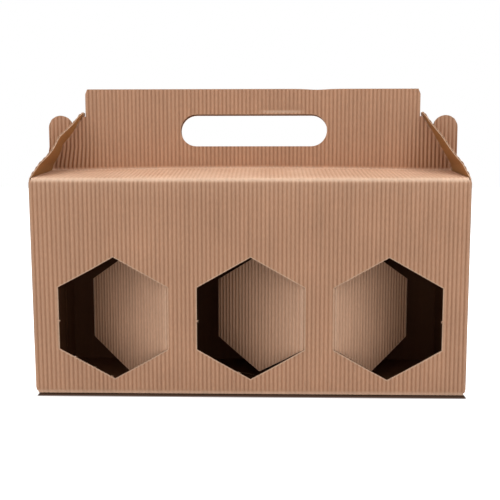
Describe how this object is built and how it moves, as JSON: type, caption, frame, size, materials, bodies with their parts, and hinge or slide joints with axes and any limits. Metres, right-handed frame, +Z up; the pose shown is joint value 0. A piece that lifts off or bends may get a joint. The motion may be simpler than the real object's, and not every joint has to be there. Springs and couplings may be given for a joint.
{
  "type": "corrugated jar display",
  "caption": "Fluted cardboard carrier for jars: hexagonal windows with their cut-outs folded in, a double handle with a hand hole, and side flaps hooked over its ears.",
  "frame": {"origin": "middle of the box on the table it stands on", "axes": "+X to the right as seen from the window side, +Y to the back, +Z up"},
  "size_m": [0.259, 0.084, 0.1856],
  "materials": {
    "kraft_board": "matte"
  },
  "bodies": {
    "carton": {"carton": "kraft_board"},
    "left_side_flap": {"left_side_flap": "kraft_board"},
    "right_side_flap": {"right_side_flap": "kraft_board"},
    "left_window_flap": {"left_window_flap": "kraft_board"},
    "middle_window_flap": {"middle_window_flap": "kraft_board"},
    "right_window_flap": {"right_window_flap": "kraft_board"}
  },
  "joints": [
    {"name": "left_side_flap_fold", "type": "hinge", "parent": "carton", "child": "left_side_flap", "pos_m": [-0.12825, 0, 0.1296], "axis": [0, -1, 0], "range_deg": [0, 117]},
    {"name": "right_side_flap_fold", "type": "hinge", "parent": "carton", "child": "right_side_flap", "pos_m": [0.12825, 0, 0.1296], "axis": [0, 1, 0], "range_deg": [0, 117]},
    {"name": "left_window_flap_fold", "type": "hinge", "parent": "carton", "child": "left_window_flap", "pos_m": [-0.04954, -0.0408, 0.0466], "axis": [0, 0, -1], "range_deg": [-35.2, 54.8]},
    {"name": "middle_window_flap_fold", "type": "hinge", "parent": "carton", "child": "middle_window_flap", "pos_m": [0.03216, -0.0408, 0.0466], "axis": [0, 0, -1], "range_deg": [-34.4, 55.6]},
    {"name": "right_window_flap_fold", "type": "hinge", "parent": "carton", "child": "right_window_flap", "pos_m": [0.04954, -0.0408, 0.0466], "axis": [0, 0, 1], "range_deg": [-38.7, 51.3]}
  ]
}
